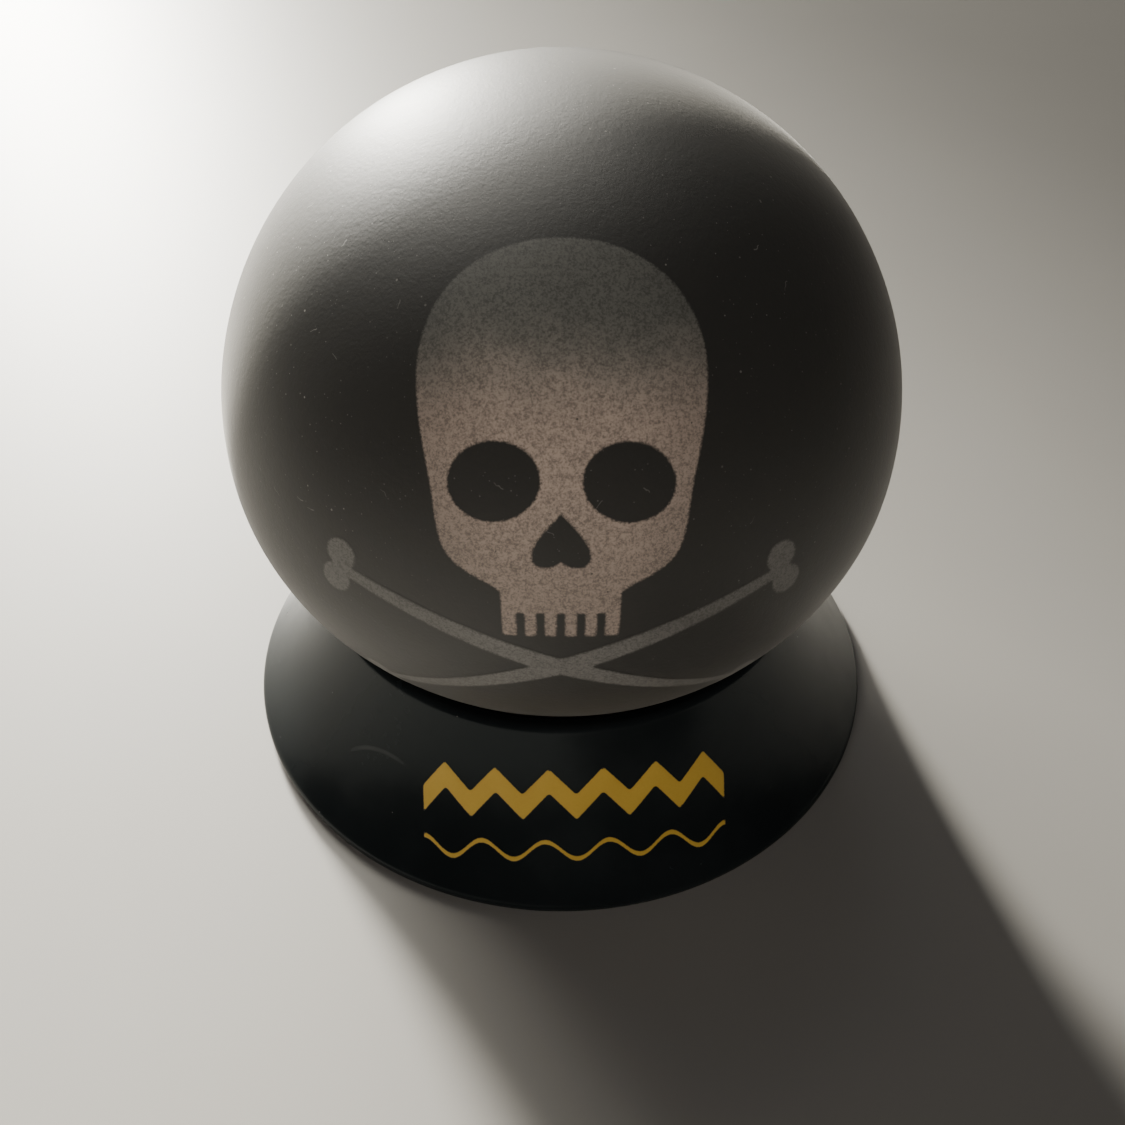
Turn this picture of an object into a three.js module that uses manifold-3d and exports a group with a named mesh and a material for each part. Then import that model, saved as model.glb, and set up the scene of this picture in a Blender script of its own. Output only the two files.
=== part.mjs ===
// A soft foam stress ball resting in the cup of a flared, hollow plastic stand.
// Millimetres, +Z up. The origin is on the table under the middle of the stand, and the
// decorated front faces -Y.
import * as THREE from "three";
import { mergeVertices } from "three/addons/utils/BufferGeometryUtils.js";
import { TessellateModifier } from "three/addons/modifiers/TessellateModifier.js";
import Module from "manifold-3d";

const wasm = await Module();
wasm.setup();

// Driving dimensions of the ball.
const BALL_RADIUS = 35;
const SETTLED = 0.864; // the underside is this share of a true half ball, as the foam has settled
const BALL_HEIGHT = 39.6; // of the ball's widest ring above the table
const SKIN = 1.2; // the dense skin that the foam forms against its mould
const POUR_HOLE_RADIUS = 3; // where the foam was poured in, at the bottom

// Driving dimensions of the stand.
const FOOT_RADIUS = 37.6;
const FOOT_ROUNDING = 1;
const FOOT_RING_INNER_RADIUS = 34.8;
const LIP_HEIGHT = 19.2;
const LIP_ROUNDING = 0.9;
const WALL = 2;
const FLARE_TOP_FACES = 17; // degrees above level that the flare faces under the lip
const FLARE_FOOT_FACES = 41; // and at the foot, as it spreads
const RIBS = 6;
const RIB_THICKNESS = 1.5;
const RIB_ABOVE_TABLE = 3;
const HUB_RADIUS = 6;
const HUB_BORE_RADIUS = 3.5;

// Driving dimensions of the paint.
const FILM = 0.18;
const SKULL_RISE = 30; // degrees above level that the middle of the skull faces
const LABEL_TURN = 3.2; // degrees that the stand is turned under the ball
const LABEL_DROOP_RADIUS = 66; // slant length from the flare's apex: straight rows sag along it

// How finely the round bodies are cut into flat faces.
const BALL_SEGMENTS = 44;
const STAND_SEGMENTS = 64;
const FINEST_FILM = 3.2;

// Fits between touching pieces.
const SEAT_GAP = 0.4; // ball to cup
const FOAM_GAP = 0.3; // foam to skin
const FILM_GAP = 0.12; // paint to what it is sprayed on

const degrees = THREE.MathUtils.degToRad;

// ---------------------------------------------------------------- surfaces

// The radii of the ball's surface, made larger all round by `proud`.
function ballRadii(proud) {
  return { side: BALL_RADIUS + proud, down: SETTLED * BALL_RADIUS + proud };
}

// A point of the ball's half outline, at an angle above its widest ring.
function ballOutline(angle, proud) {
  const { side, down } = ballRadii(proud);
  const height = angle > 0 ? side : down;
  return new THREE.Vector2(side * Math.cos(angle), BALL_HEIGHT + height * Math.sin(angle));
}

// The angle at which the underside of the ball's outline reaches a radius.
function angleAtRadius(radius, proud) {
  return -Math.acos(radius / ballRadii(proud).side);
}

// The stand's concave flare is one arc, tangent to the rounding of its foot and of its lip.
const facesTop = degrees(FLARE_TOP_FACES);
const facesFoot = degrees(FLARE_FOOT_FACES);
const flareTopHeight = LIP_HEIGHT - LIP_ROUNDING * (1 - Math.sin(facesTop));
const flareFootHeight = FOOT_ROUNDING * (1 + Math.sin(facesFoot));
const flareFootRadius = FOOT_RADIUS - FOOT_ROUNDING * (1 - Math.cos(facesFoot));
const flareBend = (flareTopHeight - flareFootHeight) / (Math.sin(facesFoot) - Math.sin(facesTop));
const flareCentre = new THREE.Vector2(
  flareFootRadius + flareBend * Math.cos(facesFoot),
  flareFootHeight + flareBend * Math.sin(facesFoot),
);

// A point of the flare's outline where it faces `angle` above level, `proud` of the surface.
function flareOutline(angle, proud) {
  const reach = flareBend - proud;
  return new THREE.Vector2(
    flareCentre.x - reach * Math.cos(angle),
    flareCentre.y - reach * Math.sin(angle),
  );
}

const lipCentre = flareOutline(facesTop, -LIP_ROUNDING);
const footCentre = flareOutline(facesFoot, -FOOT_ROUNDING);

// ---------------------------------------------------------------- helpers

// Points of an outline, evenly spaced over an angle.
function sweep(from, to, steps, outline) {
  return Array.from({ length: steps + 1 }, (_, i) => outline(from + ((to - from) * i) / steps));
}

function arc(centre, radius, from, to, steps) {
  return sweep(from, to, steps, (angle) =>
    new THREE.Vector2(Math.cos(angle), Math.sin(angle)).multiplyScalar(radius).add(centre),
  );
}

// Turns a half outline, listed from the bottom up the outside, into a body about the Z axis.
function turned(outline, segments) {
  return new THREE.LatheGeometry(outline, segments).rotateX(Math.PI / 2);
}

// Only positions are kept, and points that coincide become one.
function welded(geometry) {
  const bare = new THREE.BufferGeometry();
  bare.setAttribute("position", geometry.getAttribute("position"));
  bare.setIndex(geometry.index);
  return mergeVertices(bare, 1e-4);
}

function solidOf(geometry) {
  const body = welded(geometry);
  return new wasm.Manifold(
    new wasm.Mesh({
      numProp: 3,
      vertProperties: new Float32Array(body.attributes.position.array),
      triVerts: new Uint32Array(body.index.array),
    }),
  );
}

function geometryOf(solid) {
  const { vertProperties, triVerts } = solid.getMesh();
  const geometry = new THREE.BufferGeometry();
  geometry.setAttribute("position", new THREE.BufferAttribute(vertProperties, 3));
  geometry.setIndex(new THREE.BufferAttribute(triVerts, 1));
  geometry.computeVertexNormals();
  return geometry;
}

function piece(name, geometry, material) {
  const mesh = new THREE.Mesh(geometry, material);
  mesh.name = name;
  return mesh;
}

// A film of paint: flat artwork is given its thickness, cut finely and wrapped onto a surface.
function paintFilm(artwork, wrap) {
  const flat = new THREE.ExtrudeGeometry(artwork, {
    depth: FILM,
    bevelEnabled: false,
    curveSegments: 4,
  });
  const cut = new TessellateModifier(FINEST_FILM, 12).modify(flat);
  const film = welded(cut);
  const place = film.attributes.position;
  for (let i = 0; i < place.count; i++) {
    const point = wrap(place.getX(i), place.getY(i), FILM_GAP + place.getZ(i));
    place.setXYZ(i, point.x, point.y, point.z);
  }
  film.computeVertexNormals();
  return film;
}

// Artwork that is laid on the ball keeps its distances and bearings from its middle.
function wrapOnBall(across, up, proud) {
  const spread = Math.hypot(across, up);
  const turn = spread / BALL_RADIUS;
  const side = spread > 0 ? Math.sin(turn) / spread : 0;
  const facing = new THREE.Vector3(across * side, -Math.cos(turn), up * side);
  facing.applyAxisAngle(new THREE.Vector3(1, 0, 0), -degrees(SKULL_RISE));
  const { side: level, down } = ballRadii(proud);
  const upright = facing.z > 0 ? level : down;
  const reach = 1 / Math.hypot(facing.x / level, facing.y / level, facing.z / upright);
  return facing.multiplyScalar(reach).add(new THREE.Vector3(0, 0, BALL_HEIGHT));
}

// Artwork that is laid on the flare, measured down from the lip. Straight rows of the flat
// artwork sag towards their ends, as on an unrolled cone.
function wrapOnFlare(across, up, proud) {
  const along = -up + across ** 2 / (2 * LABEL_DROOP_RADIUS);
  const { x: radius, y: height } = flareOutline(facesTop + along / flareBend, proud);
  const turn = across / radius + degrees(LABEL_TURN);
  return new THREE.Vector3(radius * Math.sin(turn), -radius * Math.cos(turn), height);
}

// ---------------------------------------------------------------- materials

function material(colour, roughness) {
  return new THREE.MeshStandardMaterial({ color: colour, roughness, metalness: 0 });
}

const foam = material(0x3a3936, 0.95);
const softSkin = material(0x201f1e, 0.7);
const bonePaint = material(0x96908a, 0.8);
const faintPaint = material(0x55524e, 0.8);
const blackPlastic = material(0x0b0d0e, 0.35);
const yellowInk = material(0xc79a2e, 0.5);

// ---------------------------------------------------------------- ball

// The foam body, with the trimmed stub that fills the pour hole flush with the skin.
function ballCore() {
  const inset = -(SKIN + FOAM_GAP);
  const stubRadius = POUR_HOLE_RADIUS - FOAM_GAP;
  const bottom = ballOutline(-Math.PI / 2, 0).y;
  const body = sweep(angleAtRadius(stubRadius, inset), Math.PI / 2, 14, (angle) =>
    ballOutline(angle, inset),
  );
  body[body.length - 1].x = 0;
  const stub = [new THREE.Vector2(0, bottom), new THREE.Vector2(stubRadius, bottom)];
  return turned([...stub, ...body], BALL_SEGMENTS);
}

// The skin is a closed shell round the foam, open only at the pour hole.
function ballSkin() {
  const outside = sweep(angleAtRadius(POUR_HOLE_RADIUS, 0), Math.PI / 2, 18, (angle) =>
    ballOutline(angle, 0),
  );
  const inside = sweep(Math.PI / 2, angleAtRadius(POUR_HOLE_RADIUS, -SKIN), 18, (angle) =>
    ballOutline(angle, -SKIN),
  );
  outside[outside.length - 1].x = 0;
  inside[0].x = 0;
  const top = outside.pop();
  const ring = [...inside.slice(1), ...outside];
  return turned([inside[0], ...ring, top], BALL_SEGMENTS);
}

// ---------------------------------------------------------------- skull

const CROWN = 17; // the skull's top above its middle
const CROWN_WIDTH = 24;
const CHEEK_WIDTH = 21;
const JAW_WIDTH = 10.6;
const TEETH = 6;
const TEETH_BOTTOM = -17.4;
const TEETH_HEIGHT = 2.6;
const TEETH_SLIT = 0.5;

// The row of teeth along the jaw's lower edge, from left to right, with a slit between each two.
function addTeeth(outline) {
  const pitch = JAW_WIDTH / TEETH;
  const corner = 0.4;
  for (let i = 0; i < TEETH; i++) {
    const left = -JAW_WIDTH / 2 + i * pitch + (i > 0 ? TEETH_SLIT / 2 : 0);
    const right = -JAW_WIDTH / 2 + (i + 1) * pitch - (i < TEETH - 1 ? TEETH_SLIT / 2 : 0);
    outline.lineTo(left, TEETH_BOTTOM + TEETH_HEIGHT);
    outline.lineTo(left, TEETH_BOTTOM + corner);
    outline.quadraticCurveTo(left, TEETH_BOTTOM, left + corner, TEETH_BOTTOM);
    outline.lineTo(right - corner, TEETH_BOTTOM);
    outline.quadraticCurveTo(right, TEETH_BOTTOM, right, TEETH_BOTTOM + corner);
    outline.lineTo(right, TEETH_BOTTOM + TEETH_HEIGHT);
  }
}

// One side of the head, from the jaw up over the temple to the crown, on the right for side 1.
function addRightSide(outline) {
  const jaw = JAW_WIDTH / 2;
  const cheek = CHEEK_WIDTH / 2;
  const brow = CROWN_WIDTH / 2;
  outline.lineTo(jaw, -12.6);
  outline.bezierCurveTo(jaw + 1.2, -11.4, cheek - 1.2, -11, cheek - 0.3, -8.4);
  outline.bezierCurveTo(cheek + 0.3, -6.4, brow - 1.4, -5.2, brow - 1, -2.6);
  outline.bezierCurveTo(brow - 0.7, -0.6, brow, 2.4, brow, 5.6);
  outline.bezierCurveTo(brow, 12.6, 7, CROWN, 0, CROWN);
}

function addLeftSide(outline) {
  const jaw = JAW_WIDTH / 2;
  const cheek = CHEEK_WIDTH / 2;
  const brow = CROWN_WIDTH / 2;
  outline.bezierCurveTo(-7, CROWN, -brow, 12.6, -brow, 5.6);
  outline.bezierCurveTo(-brow, 2.4, -brow + 0.7, -0.6, -brow + 1, -2.6);
  outline.bezierCurveTo(-brow + 1.4, -5.2, -cheek - 0.3, -6.4, -cheek + 0.3, -8.4);
  outline.bezierCurveTo(-cheek + 1.2, -11, -jaw - 1.2, -11.4, -jaw, -12.6);
}

function eyeSocket(side) {
  const socket = new THREE.Path();
  socket.absellipse(side * 5.5, -2.7, 3.7, 3.2, 0, 2 * Math.PI, true, side * degrees(-12));
  return socket;
}

// The nose opening is an upside-down heart.
function noseOpening() {
  const nose = new THREE.Path();
  nose.moveTo(0, -5.4);
  nose.bezierCurveTo(1, -6.6, 2.5, -8, 2.3, -9.3);
  nose.bezierCurveTo(2.1, -10.2, 0.6, -10.1, 0, -9.3);
  nose.bezierCurveTo(-0.6, -10.1, -2.1, -10.2, -2.3, -9.3);
  nose.bezierCurveTo(-2.5, -8, -1, -6.6, 0, -5.4);
  return nose;
}

function skullArtwork() {
  const skull = new THREE.Shape();
  skull.moveTo(-JAW_WIDTH / 2, -12.6);
  addTeeth(skull);
  addRightSide(skull);
  addLeftSide(skull);
  skull.holes.push(eyeSocket(-1), eyeSocket(1), noseOpening());
  return skull;
}

// ---------------------------------------------------------------- crossed bones

const BONES_MIDDLE = -21.4; // below the middle of the skull
const BONE_LENGTH = 23; // from the crossing to the middle of a bone's end
const BONE_HALF_WIDTH = 1.25;
const BONE_TILT = 23;
const KNOB_RADIUS = 1.8;
const KNOB_OFFSET = 1.55; // of each of an end's two knobs, to its side of the bone's middle line

// Half of one arm, in its own frame: a list of points from the shaft round the knob to the end's
// middle, for the side 1 or -1 of the bone's middle line.
function armHalf(side) {
  const knob = new THREE.Vector2(BONE_LENGTH, KNOB_OFFSET);
  const points = arc(knob, KNOB_RADIUS, degrees(205), degrees(-59), 7);
  return points.map((point) => new THREE.Vector2(point.x, side * point.y));
}

function bonesArtwork() {
  const tilt = degrees(BONE_TILT);
  const sideCrotch = BONE_HALF_WIDTH / Math.sin(tilt);
  const topCrotch = BONE_HALF_WIDTH / Math.cos(tilt);
  const arms = [tilt, Math.PI - tilt, Math.PI + tilt, -tilt];
  const crotches = [
    [0, topCrotch],
    [-sideCrotch, 0],
    [0, -topCrotch],
    [sideCrotch, 0],
  ];
  const points = [];
  arms.forEach((angle, i) => {
    const arm = [...armHalf(-1), ...armHalf(1).reverse()];
    const turnedArm = arm.map((point) => point.rotateAround(new THREE.Vector2(), angle));
    points.push(...turnedArm, new THREE.Vector2(...crotches[i]));
  });
  return new THREE.Shape(points.map((point) => point.add(new THREE.Vector2(0, BONES_MIDDLE))));
}

// ---------------------------------------------------------------- stand

// The outside of the stand, not yet hollowed, with a flat top.
function standBlock() {
  return solidOf(
    turned(
      [
        new THREE.Vector2(0, 0),
        ...arc(footCentre, FOOT_ROUNDING, degrees(-90), facesFoot, 4),
        ...sweep(facesFoot, facesTop, 8, (angle) => flareOutline(angle, 0)).slice(1),
        ...arc(lipCentre, LIP_ROUNDING, facesTop, degrees(90), 3).slice(1),
        new THREE.Vector2(0, LIP_HEIGHT),
      ],
      STAND_SEGMENTS,
    ),
  );
}

// A ball that is larger than the real one by `proud`, to cut the cup with.
function largerBall(proud) {
  const outline = sweep(-Math.PI / 2, Math.PI / 2, 30, (angle) => ballOutline(angle, proud));
  outline[0].x = 0;
  outline[outline.length - 1].x = 0;
  return solidOf(turned(outline, STAND_SEGMENTS));
}

// The space inside the flare, up to the lip and open at the foot.
function insideOfFlare() {
  const wall = sweep(facesFoot, facesTop, 8, (angle) => flareOutline(angle, -WALL));
  const inside = wall.filter((point) => point.x < FOOT_RING_INNER_RADIUS);
  return solidOf(
    turned(
      [
        new THREE.Vector2(0, -1),
        new THREE.Vector2(FOOT_RING_INNER_RADIUS, -1),
        new THREE.Vector2(FOOT_RING_INNER_RADIUS, inside[0].y - 0.5),
        ...inside,
        new THREE.Vector2(0, inside[inside.length - 1].y),
      ],
      STAND_SEGMENTS,
    ),
  );
}

// Upright ribs under the cup, from a short central tube out to the skirt.
function ribsAndHub() {
  const height = LIP_HEIGHT - RIB_ABOVE_TABLE;
  const middle = RIB_ABOVE_TABLE + height / 2;
  const upright = (radius) => new THREE.CylinderGeometry(radius, radius, height, 32);
  const placed = (geometry) => solidOf(geometry.rotateX(Math.PI / 2).translate(0, 0, middle));
  let frame = placed(upright(HUB_RADIUS));
  for (let i = 0; i < RIBS; i++) {
    const rib = new THREE.BoxGeometry(FOOT_RADIUS, RIB_THICKNESS, height);
    rib.translate(FOOT_RADIUS / 2, 0, middle).rotateZ((2 * Math.PI * (i + 0.5)) / RIBS);
    frame = frame.add(solidOf(rib));
  }
  return frame.subtract(placed(upright(HUB_BORE_RADIUS)));
}

function standShell() {
  const hollow = insideOfFlare().subtract(largerBall(SEAT_GAP + WALL)).subtract(ribsAndHub());
  return geometryOf(standBlock().subtract(largerBall(SEAT_GAP)).subtract(hollow));
}

// ---------------------------------------------------------------- label

const LABEL_WIDTH = 34;
const BAND_MIDDLE = -7.1; // below the flare's top edge
const BAND_HEIGHT = 6.1;
const BAND_THICKNESS = 3; // measured straight down
const BAND_PEAKS = 6;
const WAVE_MIDDLE = -13.5;
const WAVE_HEIGHT = 2.5;
const WAVE_THICKNESS = 0.6;
const WAVE_PERIODS = 5;

// A bold zigzag, for tension.
function bandArtwork() {
  const swing = (BAND_HEIGHT - BAND_THICKNESS) / 2;
  const corners = 2 * BAND_PEAKS;
  const line = Array.from({ length: corners + 1 }, (_, i) => ({
    x: (i / corners - 0.5) * LABEL_WIDTH,
    y: BAND_MIDDLE + (i % 2 === 0 ? -swing : swing),
  }));
  const lower = line.map(({ x, y }) => new THREE.Vector2(x, y - BAND_THICKNESS / 2));
  const upper = line.map(({ x, y }) => new THREE.Vector2(x, y + BAND_THICKNESS / 2));
  return new THREE.Shape([...lower, ...upper.reverse()]);
}

// A thin, even wave under it, for calm.
function waveArtwork() {
  const swing = (WAVE_HEIGHT - WAVE_THICKNESS) / 2;
  const steps = 10 * WAVE_PERIODS;
  const edge = (offset) =>
    sweep(0, 1, steps, (share) => {
      const rise = swing * Math.cos(2 * Math.PI * WAVE_PERIODS * share);
      return new THREE.Vector2((share - 0.5) * LABEL_WIDTH, WAVE_MIDDLE + rise + offset);
    });
  return new THREE.Shape([...edge(-WAVE_THICKNESS / 2), ...edge(WAVE_THICKNESS / 2).reverse()]);
}

// ---------------------------------------------------------------- assembly

const stressBall = new THREE.Group();
stressBall.add(
  piece("stand_shell", standShell(), blackPlastic),
  piece("label_zigzag", paintFilm(bandArtwork(), wrapOnFlare), yellowInk),
  piece("label_wave", paintFilm(waveArtwork(), wrapOnFlare), yellowInk),
  piece("foam_core", ballCore(), foam),
  piece("ball_skin", ballSkin(), softSkin),
  piece("skull_paint", paintFilm(skullArtwork(), wrapOnBall), bonePaint),
  piece("crossbones_paint", paintFilm(bonesArtwork(), wrapOnBall), faintPaint),
);

export default stressBall;
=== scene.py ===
import math

import bmesh
import bpy
import numpy as np
from mathutils import Matrix, Vector, noise
from mathutils.geometry import delaunay_2d_cdt


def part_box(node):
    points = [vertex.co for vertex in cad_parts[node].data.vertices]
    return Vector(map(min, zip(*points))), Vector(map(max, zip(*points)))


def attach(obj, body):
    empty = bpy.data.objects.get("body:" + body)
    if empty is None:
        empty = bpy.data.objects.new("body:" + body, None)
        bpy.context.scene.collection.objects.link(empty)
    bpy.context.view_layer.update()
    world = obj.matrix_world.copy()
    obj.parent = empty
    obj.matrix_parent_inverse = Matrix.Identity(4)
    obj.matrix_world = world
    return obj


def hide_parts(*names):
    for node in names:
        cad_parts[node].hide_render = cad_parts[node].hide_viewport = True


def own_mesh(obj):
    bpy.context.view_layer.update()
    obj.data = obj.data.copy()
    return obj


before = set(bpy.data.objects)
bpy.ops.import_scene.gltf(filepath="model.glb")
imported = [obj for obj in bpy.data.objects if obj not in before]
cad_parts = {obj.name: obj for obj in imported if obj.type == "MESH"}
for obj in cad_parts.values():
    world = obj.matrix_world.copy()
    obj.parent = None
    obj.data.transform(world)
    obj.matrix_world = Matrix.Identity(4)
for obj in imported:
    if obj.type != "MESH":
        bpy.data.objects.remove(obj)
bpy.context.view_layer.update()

# ---------------------------------------------------------------- camera
# It is held just above the front edge of the desk and looks down at the decorated front of the
# ball, close enough for the stand's far side to be hidden.

MM = 0.001  # every outline and size below is in millimetres; meshes are in metres

CAMERA_PLACE = Vector((0, -105.4, 116.2))
CAMERA_DOWN = 43.5  # degrees below level
CAMERA_TURN = -0.09
CAMERA_ROLL = 0.33

camera = bpy.data.objects.new("camera", bpy.data.cameras.new("camera"))
camera.data.sensor_width = 36
camera.data.lens = 38.75
camera.data.clip_start = 0.005
camera.matrix_world = (
    Matrix.Translation(CAMERA_PLACE * MM)
    @ Matrix.Rotation(math.radians(CAMERA_TURN), 4, "Z")
    @ Matrix.Rotation(math.radians(90 - CAMERA_DOWN), 4, "X")
    @ Matrix.Rotation(math.radians(CAMERA_ROLL), 4, "Z")
)
bpy.context.scene.collection.objects.link(camera)
bpy.context.scene.camera = camera

# ---------------------------------------------------------------- stand moulding
# The stand is one thin-walled moulding in black plastic: a concave flare from a rounded foot up to
# a thin lip, with the ball's cup inside it. Six ribs and a short tube under the cup stiffen it.

ball_low, ball_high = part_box("ball_skin")
stand_low, stand_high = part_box("stand_shell")
foam_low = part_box("foam_core")[0]

BALL_RADIUS = (ball_high.x - ball_low.x) / 2 / MM
WIDEST = ball_high.z / MM - BALL_RADIUS  # height of the ball's widest ring
BALL_DROP = WIDEST - foam_low.z / MM  # from that ring down to the bottom of the settled ball

FOOT_RADIUS = (stand_high.x - stand_low.x) / 2 / MM
FOOT_ROUNDING = 1
FOOT_RING_INNER_RADIUS = 34.8
LIP_HEIGHT = stand_high.z / MM
LIP_ROUNDING = 0.9
WALL = 2
WALL_CLEAR_OF_CUP = 0.1
SEAT_GAP = 0.4
FLARE_TOP_FACES = math.radians(17)  # above level that the flare faces under the lip
FLARE_FOOT_FACES = math.radians(41)
MOULD_CORNER = 0.22  # how far to both sides of a sharp corner the moulding is rounded
SHARP_CORNER = math.radians(25)
SHADED_SHARP = math.radians(38)
RIBS = 6
RIB_THICKNESS = 1.5
RIB_ABOVE_TABLE = 3
RIB_EDGE_ROUNDING = 0.35
HUB_RADIUS = 6
HUB_BORE_RADIUS = 3.5
HUB_CORNER = 0.3
RIB_START = HUB_BORE_RADIUS + 1  # inside the tube's wall
ROOT = 0.6  # how far ribs and tube run into the walls that they are moulded with
STAND_SEGMENTS = 224
SCUFF_MIDDLE = (-21.0, -25.5, 11.0)  # an old scuff on the front left of the flare
SCUFF_CENTRE = (-19.0, -27.0, 3.0)  # it is part of a ring about this point
SCUFF_RADIUS = 8.4
PLASTIC = (0.0066, 0.0084, 0.0092, 1)
CLOUDED_PLASTIC = (0.0104, 0.0128, 0.0138, 1)
HANDLED_PLASTIC = (0.0165, 0.0195, 0.0205, 1)
SCRAPED_PLASTIC = (0.16, 0.165, 0.16, 1)
DUST_ON_PLASTIC = (0.30, 0.29, 0.27, 1)


def sweep(start, end, steps, outline):
    """Points of an outline, evenly spaced over an angle."""
    return [outline(start + (end - start) * i / steps) for i in range(steps + 1)]


def arc(centre, radius, start, end, steps):
    """Points of a round arc between two angles."""
    return sweep(start, end, steps, lambda a: centre + radius * Vector((math.cos(a), math.sin(a))))


def ball_outline(angle, proud=0):
    """A point of the ball's half outline, at an angle above its widest ring."""
    upright = (BALL_RADIUS if angle > 0 else BALL_DROP) + proud
    return Vector(((BALL_RADIUS + proud) * math.cos(angle), WIDEST + upright * math.sin(angle)))


def ball_angle(radius, proud=0):
    """Where the underside of that outline has a radius."""
    return -math.acos(radius / (BALL_RADIUS + proud))


flare_top = LIP_HEIGHT - LIP_ROUNDING * (1 - math.sin(FLARE_TOP_FACES))
flare_foot = FOOT_ROUNDING * (1 + math.sin(FLARE_FOOT_FACES))
flare_bend = (flare_top - flare_foot) / (math.sin(FLARE_FOOT_FACES) - math.sin(FLARE_TOP_FACES))
flare_centre = Vector((
    FOOT_RADIUS - FOOT_ROUNDING * (1 - math.cos(FLARE_FOOT_FACES)),
    flare_foot,
)) + flare_bend * Vector((math.cos(FLARE_FOOT_FACES), math.sin(FLARE_FOOT_FACES)))


def flare_outline(angle, proud=0):
    """A point of the flare's outline, where it faces an angle above level."""
    return flare_centre - (flare_bend - proud) * Vector((math.cos(angle), math.sin(angle)))


def inside_wall(inset, cup_proud):
    """The inside of the flare from under the cup down to the foot ring, at a depth from the outside."""
    wall = sweep(FLARE_TOP_FACES, FLARE_FOOT_FACES, 60, lambda a: flare_outline(a, -inset))
    ring = FOOT_RING_INNER_RADIUS + WALL - inset
    reach = BALL_RADIUS + cup_proud
    kept = []
    for point in wall:
        share = min(point.x, reach) / reach
        cup_height = WIDEST - (BALL_DROP + cup_proud) * math.sqrt(1 - share ** 2)
        if point.y < cup_height - WALL_CLEAR_OF_CUP and point.x < ring:
            kept.append(point)
    return kept


def eased(outline, reach, steps=4):
    """The outline with each sharp corner worn round, over a reach to both sides of it."""
    points = [outline[0]]
    for before, corner, after in zip(outline, outline[1:], outline[2:]):
        into = corner - before
        away = after - corner
        if into.angle(away) < SHARP_CORNER:
            points.append(corner)
            continue
        start = corner - into * min(0.45, reach / into.length)
        end = corner + away * min(0.45, reach / away.length)
        for i in range(steps + 1):
            share = i / steps
            points.append(start.lerp(corner, share).lerp(corner.lerp(end, share), share))
    return points + [outline[-1]]


def make_piece(name, vertices, faces):
    """A named mesh object, smooth but for its sharp edges, from points in millimetres."""
    mesh = bpy.data.meshes.new(name)
    mesh.from_pydata([Vector(v) * MM for v in vertices], [], faces)
    return finish_piece(name, mesh)


def finish_piece(name, mesh):
    """Turns a mesh's faces outwards, shades it and puts it in the scene."""
    body = bmesh.new()
    body.from_mesh(mesh)
    bmesh.ops.recalc_face_normals(body, faces=body.faces)
    body.to_mesh(mesh)
    body.free()
    mesh.shade_smooth()
    mesh.set_sharp_from_angle(angle=SHADED_SHARP)
    piece = bpy.data.objects.new(name, mesh)
    bpy.context.scene.collection.objects.link(piece)
    return piece


def turned(name, outline, segments, closed=False):
    """A body turned about the upright axis. Its half outline ends on the axis, or closes on itself."""
    vertices = []
    rows = []
    for radius, height in outline:
        count = segments if radius > 1e-6 else 1
        rows.append([len(vertices) + i for i in range(count)])
        for i in range(count):
            turn = 2 * math.pi * i / segments
            vertices.append((radius * math.sin(turn), -radius * math.cos(turn), height))
    faces = []
    for low, high in zip(rows, rows[1:] + rows[:1] * closed):
        for i in range(segments):
            j = (i + 1) % segments
            corners = (low[i % len(low)], low[j % len(low)], high[j % len(high)], high[i % len(high)])
            faces.append(list(dict.fromkeys(corners)))
    return make_piece(name, vertices, faces)


def combined(piece, other, operation):
    """Joins a piece with another, or keeps what they share, and takes the other away."""
    step = piece.modifiers.new("combined", "BOOLEAN")
    step.operation = operation
    step.solver = "EXACT"
    step.object = other
    mesh = bpy.data.meshes.new_from_object(piece.evaluated_get(bpy.context.evaluated_depsgraph_get()))
    name = piece.name
    bpy.data.objects.remove(piece)
    bpy.data.objects.remove(other)
    return finish_piece(name, mesh)


def rib_plates():
    """Six upright plates with rounded lower edges, from the tube out into the skirt."""
    body = bmesh.new()
    length = FOOT_RADIUS - RIB_START
    height = LIP_HEIGHT - RIB_ABOVE_TABLE
    for i in range(RIBS):
        plate = bmesh.ops.create_cube(body, size=1)["verts"]
        bmesh.ops.scale(body, vec=(length, RIB_THICKNESS, height), verts=plate)
        out = RIB_START + length / 2
        bmesh.ops.translate(body, vec=(out, 0, RIB_ABOVE_TABLE + height / 2), verts=plate)
        turn = Matrix.Rotation(2 * math.pi * (i + 0.5) / RIBS, 3, "Z")
        lower = [v for v in plate if v.co.z < RIB_ABOVE_TABLE + 0.1]
        edges = {e for v in lower for e in v.link_edges if e.other_vert(v) in lower}
        long_edges = [e for e in edges if e.calc_length() > 2 * RIB_THICKNESS]
        made = bmesh.ops.bevel(body, geom=long_edges, offset=RIB_EDGE_ROUNDING, segments=4, affect="EDGES")
        whole = {v for v in plate if v.is_valid} | {v for v in made["verts"] if v.is_valid}
        bmesh.ops.rotate(body, matrix=turn, verts=list(whole))
    bmesh.ops.scale(body, vec=(MM, MM, MM), verts=body.verts)
    mesh = bpy.data.meshes.new("ribs")
    body.to_mesh(mesh)
    body.free()
    return finish_piece("ribs", mesh)


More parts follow.
